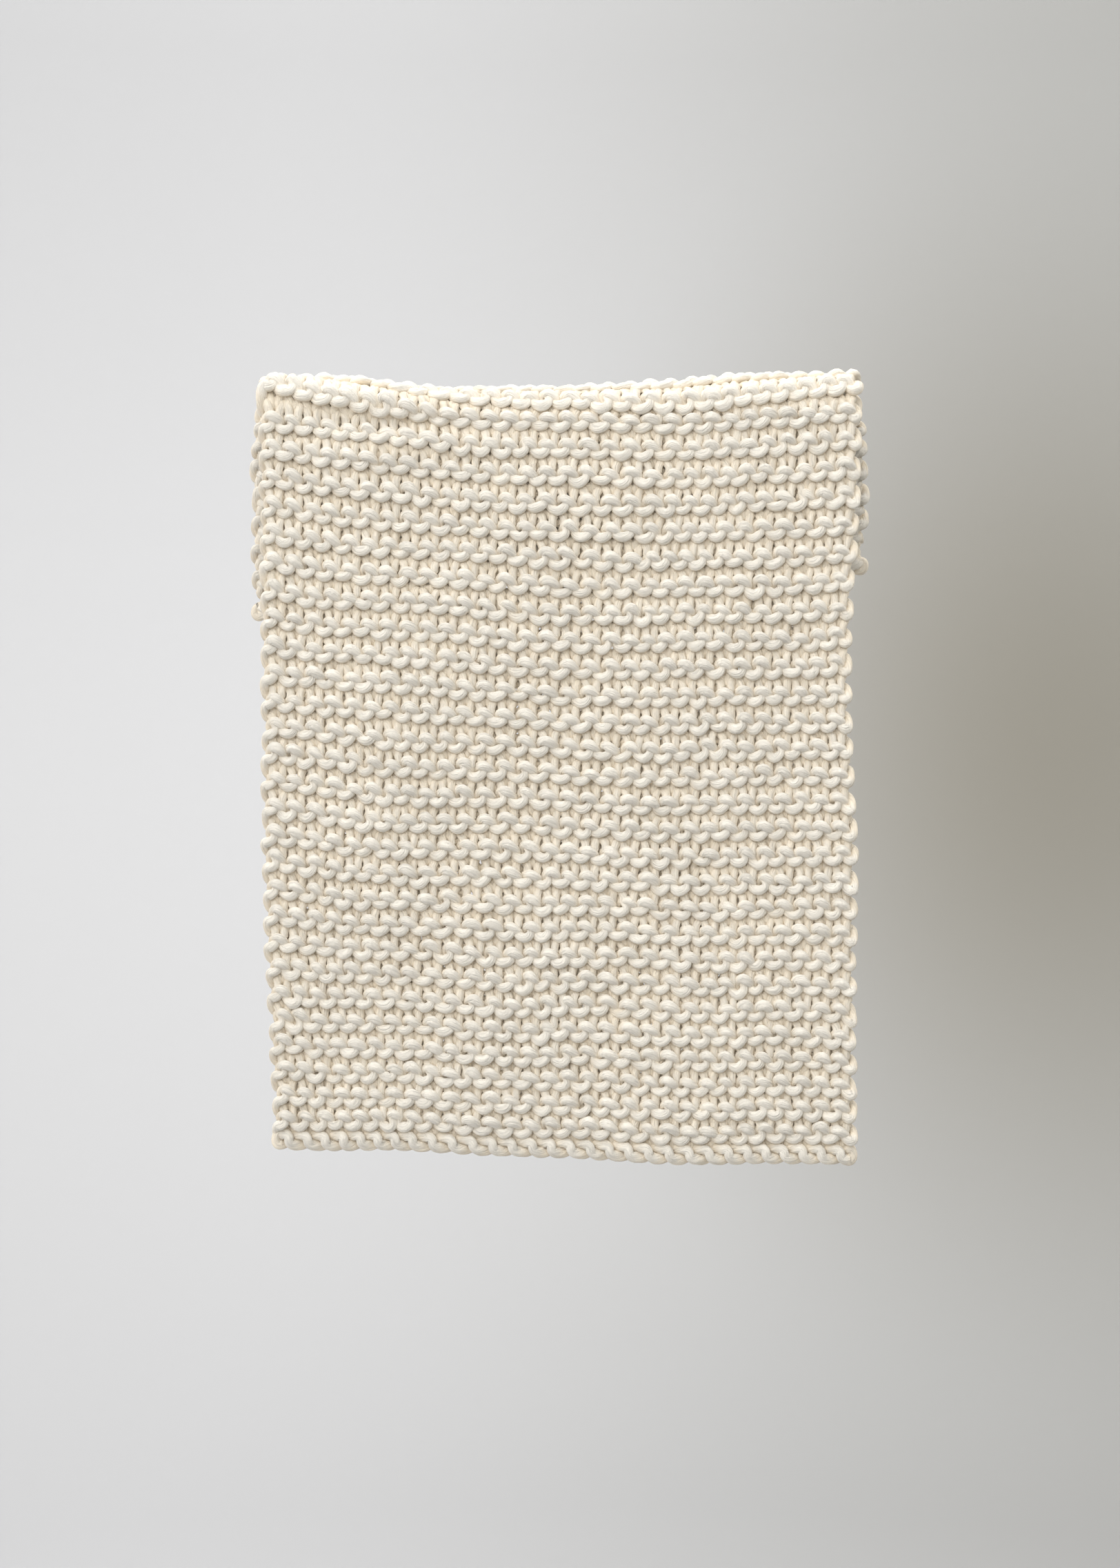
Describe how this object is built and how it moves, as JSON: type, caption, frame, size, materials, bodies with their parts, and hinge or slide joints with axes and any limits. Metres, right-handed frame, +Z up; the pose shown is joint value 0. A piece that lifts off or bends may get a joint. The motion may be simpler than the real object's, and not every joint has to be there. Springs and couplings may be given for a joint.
{
  "type": "folded throw blanket",
  "caption": "Chunky hand-knitted garter-stitch cotton throw hanging folded over a bar: a long front fall and a short back flap that swing and fold along their ridges.",
  "frame": {"origin": "on the axis of the bar that the blanket hangs over, halfway along its width", "axes": "+X along the bar, the long front fall faces -Y and the short back flap +Y, +Z up"},
  "size_m": [0.72, 0.084, 0.8811],
  "materials": {
    "cotton_yarn": "matte undyed multi-strand cotton"
  },
  "bodies": {
    "bar_saddle_band": {"saddle_ridge_back": "cotton_yarn", "saddle_ridge_crown_back": "cotton_yarn", "saddle_ridge_crown_front": "cotton_yarn", "saddle_ridge_front": "cotton_yarn"},
    "front_upper": {"front_ridge_01": "cotton_yarn", "front_ridge_02": "cotton_yarn", "front_ridge_03": "cotton_yarn", "front_ridge_04": "cotton_yarn", "front_ridge_05": "cotton_yarn", "front_ridge_06": "cotton_yarn", "front_ridge_07": "cotton_yarn", "front_ridge_08": "cotton_yarn", "front_ridge_09": "cotton_yarn", "front_ridge_10": "cotton_yarn"},
    "front_middle": {"front_ridge_11": "cotton_yarn", "front_ridge_12": "cotton_yarn", "front_ridge_13": "cotton_yarn", "front_ridge_14": "cotton_yarn", "front_ridge_15": "cotton_yarn", "front_ridge_16": "cotton_yarn", "front_ridge_17": "cotton_yarn", "front_ridge_18": "cotton_yarn"},
    "front_lower": {"front_ridge_19": "cotton_yarn", "front_ridge_20": "cotton_yarn", "front_ridge_21": "cotton_yarn", "front_ridge_22": "cotton_yarn", "front_ridge_23": "cotton_yarn"},
    "front_hem": {"front_ridge_24": "cotton_yarn", "front_ridge_25": "cotton_yarn", "front_ridge_26": "cotton_yarn", "front_ridge_27": "cotton_yarn", "cast_on_edge": "cotton_yarn"},
    "back_flap": {"back_ridge_01": "cotton_yarn", "back_ridge_02": "cotton_yarn", "back_ridge_03": "cotton_yarn"},
    "back_hem": {"back_ridge_04": "cotton_yarn", "back_ridge_05": "cotton_yarn", "back_ridge_06": "cotton_yarn", "bound_off_edge": "cotton_yarn"}
  },
  "joints": [
    {"name": "front_swing", "type": "hinge", "parent": "bar_saddle_band", "child": "front_upper", "pos_m": [0, -0.031, -0.00955], "axis": [-1, 0, 0], "range_deg": [-4, 85]},
    {"name": "front_fold_upper", "type": "hinge", "parent": "front_upper", "child": "front_middle", "pos_m": [0, -0.031, -0.32361], "axis": [-1, 0, 0], "range_deg": [-90, 90]},
    {"name": "front_fold_middle", "type": "hinge", "parent": "front_middle", "child": "front_lower", "pos_m": [0, -0.031, -0.5662], "axis": [-1, 0, 0], "range_deg": [-90, 90]},
    {"name": "front_fold_lower", "type": "hinge", "parent": "front_lower", "child": "front_hem", "pos_m": [0, -0.031, -0.71053], "axis": [-1, 0, 0], "range_deg": [-90, 90]},
    {"name": "back_swing", "type": "hinge", "parent": "bar_saddle_band", "child": "back_flap", "pos_m": [0, 0.031, -0.00955], "axis": [1, 0, 0], "range_deg": [-4, 85]},
    {"name": "back_fold", "type": "hinge", "parent": "back_flap", "child": "back_hem", "pos_m": [0, 0.031, -0.10015], "axis": [1, 0, 0], "range_deg": [0, 90]}
  ]
}
